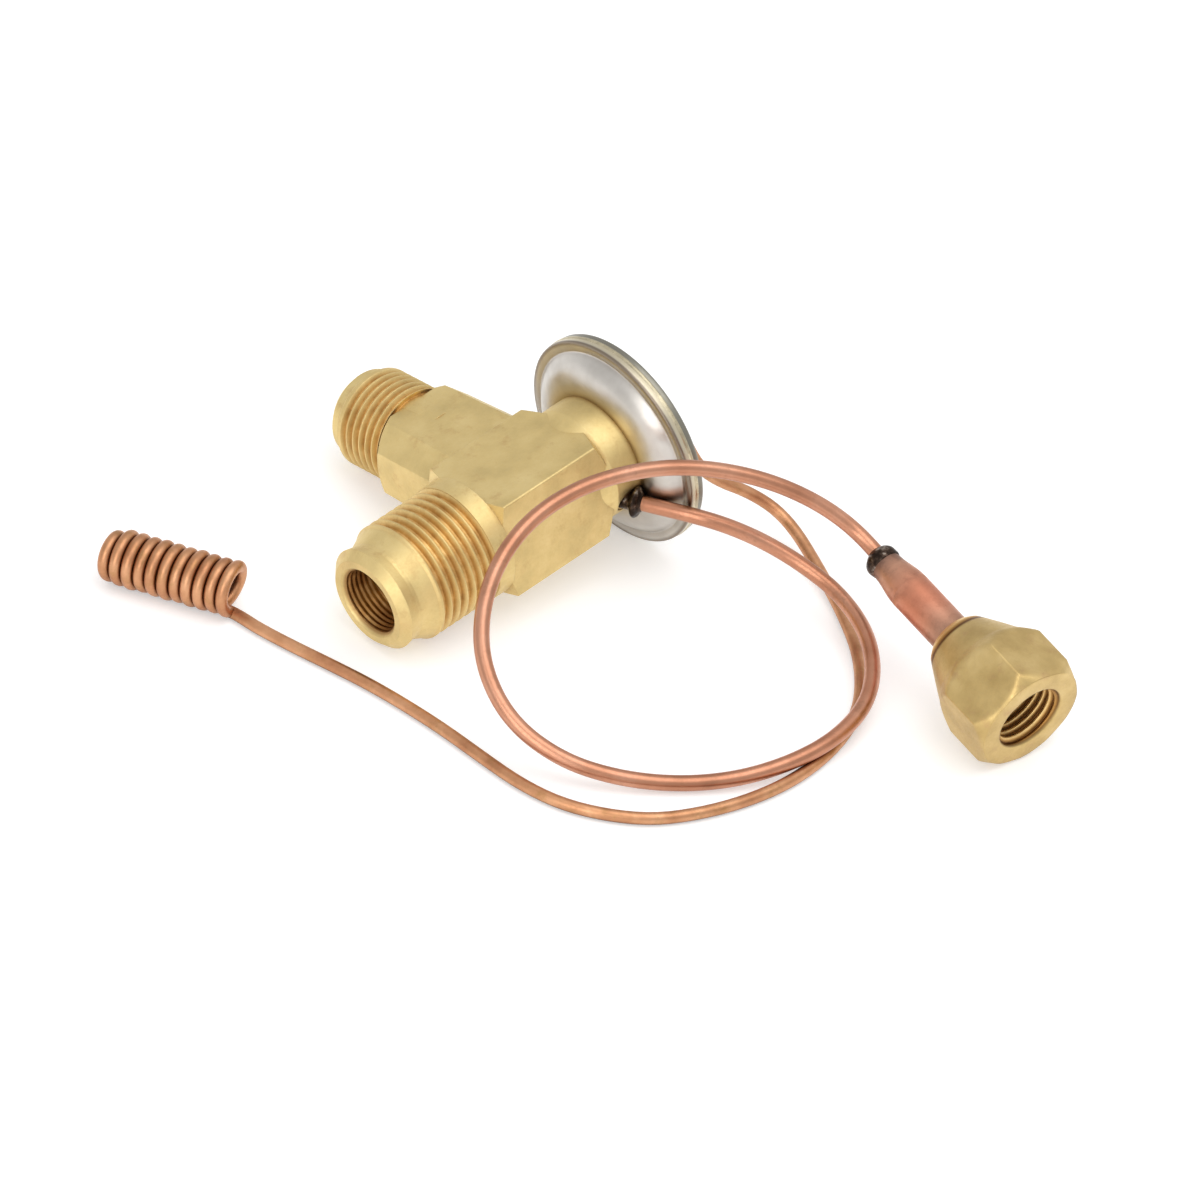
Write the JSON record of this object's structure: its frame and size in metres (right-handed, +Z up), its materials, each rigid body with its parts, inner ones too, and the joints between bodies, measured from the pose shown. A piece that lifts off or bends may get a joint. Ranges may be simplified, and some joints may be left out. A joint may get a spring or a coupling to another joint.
{
  "type": "thermostatic expansion valve",
  "caption": "Brass refrigeration expansion valve with two flared arms, a round steel diaphragm head, a looped copper equaliser line with a flare nut, and a coiled copper sensing line.",
  "frame": {"origin": "on the floor under the centre of the valve's box, the free lines and what is on them left out", "axes": "+Z up from the floor; +X along the main axis towards the diaphragm head, +Y along the inlet arm, each within about 10 degrees"},
  "size_m": [0.0942, 0.1177, 0.034],
  "materials": {
    "brass_body": "matte cast and turned brass, pale greenish yellow",
    "brass_nut": "turned and tumbled brass, khaki",
    "steel_head": "pressed stainless sheet, grey",
    "steel_inner": "turned and ground steel",
    "weld_straw": "weld bead with straw heat tint",
    "copper_line": "drawn copper tube, lightly oxidised",
    "copper_coil": "drawn copper tube, lightly oxidised",
    "braze_dark": "brazing alloy with dark oxide",
    "spring_steel": "spring wire",
    "mesh_steel": "woven stainless mesh"
  },
  "bodies": {
    "valve": {"valve_body": "brass_body", "seat_insert": "steel_inner", "head_lower_shell": "steel_head", "diaphragm": "steel_head", "head_upper_shell": "steel_head", "rim_weld": "weld_straw", "head_braze": "braze_dark", "superheat_spring": "spring_steel", "inlet_strainer": "mesh_steel", "strainer_ring": "brass_nut", "equaliser_stub": "copper_line", "stub_braze": "braze_dark", "equaliser_braze": "braze_dark", "equaliser_line": "copper_line", "sensing_line": "copper_line", "sensing_coil": "copper_coil"},
    "lift": {"valve_ball": "steel_inner", "ball_carrier": "brass_nut", "push_rod_1": "steel_inner", "push_rod_2": "steel_inner", "thrust_pad": "brass_nut"},
    "spring_seat": {"spring_seat": "brass_nut"},
    "adjuster": {"adjusting_nut": "brass_nut"},
    "nut": {"flare_nut": "brass_nut"}
  },
  "joints": [
    {"name": "valve_lift", "type": "slide", "parent": "valve", "child": "lift", "axis": [-0.9853, 0, -0.1707], "range_m": [0, 0.0008], "stiffness_N_per_m": 2000, "springref_m": -0.0005, "deforming": ["superheat_spring", "diaphragm"]},
    {"name": "spring_seat_slide", "type": "slide", "parent": "valve", "child": "spring_seat", "axis": [0.9853, 0, 0.1707], "range_m": [-0.0015, 0.0015]},
    {"name": "adjuster_turn", "type": "hinge", "parent": "spring_seat", "child": "adjuster", "pos_m": [-0.01748, -0.0105, 0.01014], "axis": [0.9853, 0, 0.1707], "range_deg": [-560, 560]},
    {"name": "flare_nut_turn", "type": "hinge", "parent": "valve", "child": "nut", "pos_m": [0.03312, -0.07899, 0.01062], "axis": [-0.0939, -0.9835, -0.1544], "continuous": true}
  ],
  "couplings": [
    {"joint": "adjuster_turn", "follows": "spring_seat_slide", "rad_per_m": 6283.2}
  ]
}
